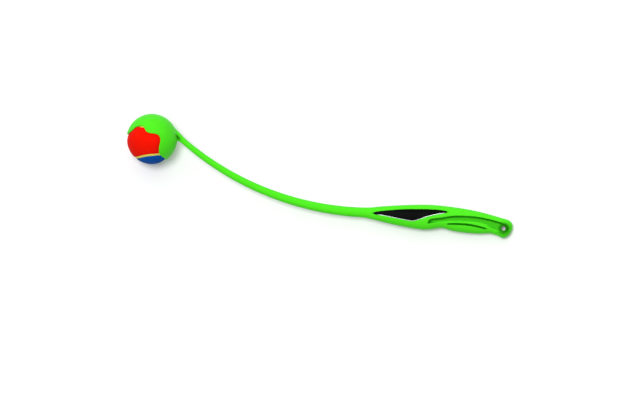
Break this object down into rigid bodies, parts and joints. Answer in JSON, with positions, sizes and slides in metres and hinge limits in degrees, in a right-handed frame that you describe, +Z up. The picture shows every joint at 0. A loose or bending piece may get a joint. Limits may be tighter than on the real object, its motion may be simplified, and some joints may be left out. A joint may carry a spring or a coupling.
{
  "type": "dog ball launcher stick",
  "caption": "Curved hand-held stick with a snap-in ball cup at one end, a shaped grip with a hang hole at the other, and a felt-covered ball that pulls out of the cup.",
  "frame": {"origin": "under the middle of the overall box, on the floor that the stick lies on", "axes": "+X runs along the stick from the ball to the hang hole, +Y points away from the cup's opening, +Z up from the floor"},
  "size_m": [0.544, 0.075, 0.0676],
  "materials": {
    "moulding": "satin moulded polypropylene",
    "label": "black satin film",
    "core": "plain moulded rubber",
    "orange_felt": "needled felt",
    "blue_felt": "needled felt",
    "seam": "matt rubber"
  },
  "bodies": {
    "stick": {"cup_bowl": "moulding", "front_claw": "moulding", "back_claw": "moulding", "shaft": "moulding", "grip": "moulding", "label_front": "label", "label_back": "label"},
    "ball": {"core_half_a": "core", "core_half_b": "core", "felt_orange": "orange_felt", "felt_blue": "blue_felt", "ball_seam": "seam"}
  },
  "joints": [
    {"name": "ball_release", "type": "slide", "parent": "stick", "child": "ball", "axis": [-0.3219, -0.9466, 0.0157], "range_m": [0, 0.08], "deforming": ["front_claw", "back_claw"]}
  ]
}
